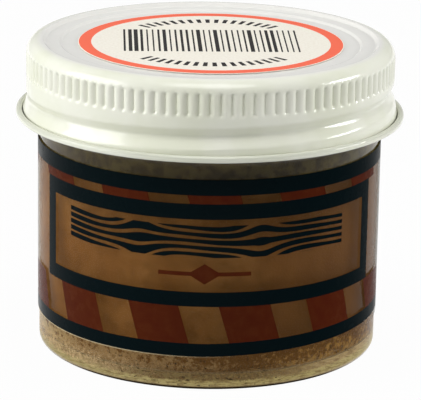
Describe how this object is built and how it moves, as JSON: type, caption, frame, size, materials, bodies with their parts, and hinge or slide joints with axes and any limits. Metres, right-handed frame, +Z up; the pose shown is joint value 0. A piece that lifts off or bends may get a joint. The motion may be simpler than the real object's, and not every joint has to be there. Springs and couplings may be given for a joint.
{
  "type": "jar of wood putty",
  "caption": "Squat straight-sided glass jar of wood putty with a printed film label and a knurled white steel lid that unscrews and lifts off.",
  "frame": {"origin": "middle of the ring that the jar stands on", "axes": "+Z up along the jar's and the lid's common axis, -Y towards the front of the label"},
  "size_m": [0.0568, 0.0568, 0.0454],
  "materials": {
    "clear_glass": "polished",
    "putty": "matte",
    "printed_film": "gloss",
    "white_enamel": "gloss",
    "pulpboard": "matte",
    "coated_facing": "satin",
    "label_paper": "matte"
  },
  "bodies": {
    "jar": {"jar": "clear_glass", "putty": "putty", "body_label": "printed_film"},
    "liner": {"liner_board": "pulpboard", "liner_facing": "coated_facing"},
    "lid": {"lid_shell": "white_enamel", "lid_label": "label_paper"}
  },
  "joints": [
    {"name": "lid_rise", "type": "slide", "parent": "jar", "child": "liner", "axis": [0, 0, 1], "range_m": [0, 0.0128]},
    {"name": "lid_turn", "type": "hinge", "parent": "liner", "child": "lid", "pos_m": [0, 0, 0.0448], "axis": [0, 0, 1], "range_deg": [0, 1080]}
  ],
  "couplings": [
    {"joint": "lid_rise", "follows": "lid_turn", "m_per_rad": 0.0006737}
  ]
}
